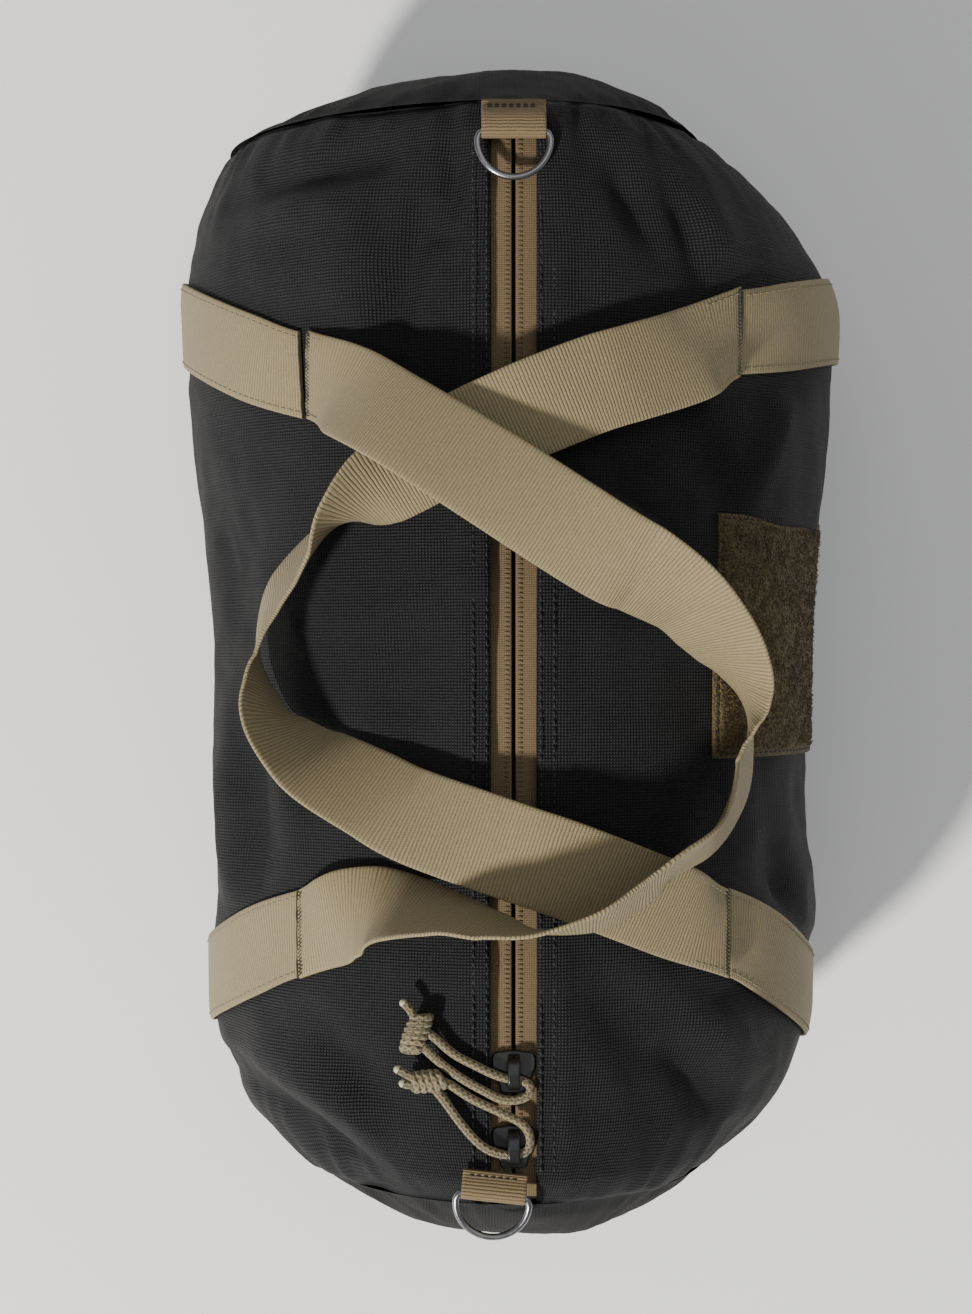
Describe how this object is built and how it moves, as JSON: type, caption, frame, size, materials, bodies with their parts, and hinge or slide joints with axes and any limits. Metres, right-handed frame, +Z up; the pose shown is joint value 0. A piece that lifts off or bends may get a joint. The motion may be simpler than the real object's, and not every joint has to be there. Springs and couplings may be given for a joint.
{
  "type": "barrel duffel bag",
  "caption": "Small soft barrel duffel with domed ends, a two-slider zipper along its top, webbing carry handles sewn to belly bands, end D-rings and a loop patch",
  "frame": {"origin": "centre of the footprint, on the ground plane under the belly bands", "axes": "+Z up; +Y along the zipper towards the head end, away from the parked sliders; +X to the right, the side with the loop patch"},
  "size_m": [0.2915, 0.499, 0.2775],
  "materials": {
    "black_fabric": "coarse plain-woven nylon, matt",
    "binding_tape": "grosgrain binding",
    "zipper_tape": "woven zipper tape, coyote brown",
    "zipper_coil": "moulded nylon coil",
    "slider_enamel": "black enamelled zinc",
    "pull_cord": "braided nylon cord",
    "ring_webbing": "coyote nylon webbing",
    "ring_steel": "gunmetal-plated steel wire",
    "handle_webbing": "ribbed nylon webbing, olive tan",
    "loop_patch": "loop pile",
    "side_tag": "plain woven label"
  },
  "bodies": {
    "bag": {"body_panel": "black_fabric", "end_panel_head": "black_fabric", "end_panel_foot": "black_fabric", "seam_binding_head": "binding_tape", "seam_binding_foot": "binding_tape", "zipper_tape_left": "zipper_tape", "zipper_tape_right": "zipper_tape", "zipper_coil_left": "zipper_coil", "zipper_coil_right": "zipper_coil", "dring_web_head": "ring_webbing", "dring_web_foot": "ring_webbing", "band_head": "handle_webbing", "band_foot": "handle_webbing", "loop_patch": "loop_patch", "side_tag": "side_tag"},
    "handle_left": {"handle_left": "handle_webbing"},
    "handle_right": {"handle_right": "handle_webbing"},
    "dring_head": {"dring_head": "ring_steel"},
    "dring_foot": {"dring_foot": "ring_steel"},
    "slider_upper": {"slider_upper": "slider_enamel"},
    "slider_lower": {"slider_lower": "slider_enamel"},
    "pull_upper": {"pull_cord_upper": "pull_cord", "pull_knot_upper": "pull_cord"},
    "pull_lower": {"pull_cord_lower": "pull_cord", "pull_knot_lower": "pull_cord"}
  },
  "joints": [
    {"name": "handle_left_swing", "type": "hinge", "parent": "bag", "child": "handle_left", "pos_m": [-0.0824, 0.1134, 0.2056], "axis": [-0.0164, -0.9995, -0.0284], "range_deg": [0, 150]},
    {"name": "handle_right_swing", "type": "hinge", "parent": "bag", "child": "handle_right", "pos_m": [0.0914, 0.1312, 0.2008], "axis": [0.0198, 0.9998, -0.0058], "range_deg": [0, 50]},
    {"name": "dring_head_swing", "type": "hinge", "parent": "bag", "child": "dring_head", "pos_m": [0, 0.2055, 0.2285], "axis": [-1, 0, 0], "range_deg": [0, 170]},
    {"name": "dring_foot_swing", "type": "hinge", "parent": "bag", "child": "dring_foot", "pos_m": [-0.008, -0.21, 0.2285], "axis": [-0.9945, 0.1045, 0], "range_deg": [0, 150]},
    {"name": "slider_upper_slide", "type": "slide", "parent": "bag", "child": "slider_upper", "axis": [0, 1, 0], "range_m": [0, 0.335], "deforming": ["pull_knot_upper"]},
    {"name": "slider_lower_slide", "type": "slide", "parent": "bag", "child": "slider_lower", "axis": [0, 1, 0], "range_m": [0, 0.01], "deforming": ["pull_knot_lower"]},
    {"name": "pull_upper_swing", "type": "hinge", "parent": "slider_upper", "child": "pull_upper", "pos_m": [0, -0.1655, 0.2258], "axis": [0, 1, 0], "range_deg": [0, 150], "deforming": ["pull_cord_upper"]},
    {"name": "pull_lower_swing", "type": "hinge", "parent": "slider_lower", "child": "pull_lower", "pos_m": [0, -0.195, 0.2258], "axis": [0, 1, 0], "range_deg": [0, 150], "deforming": ["pull_cord_lower"]}
  ],
  "couplings": [
    {"joint": "handle_right_swing", "follows": "handle_left_swing", "ratio": 0.33333}
  ]
}
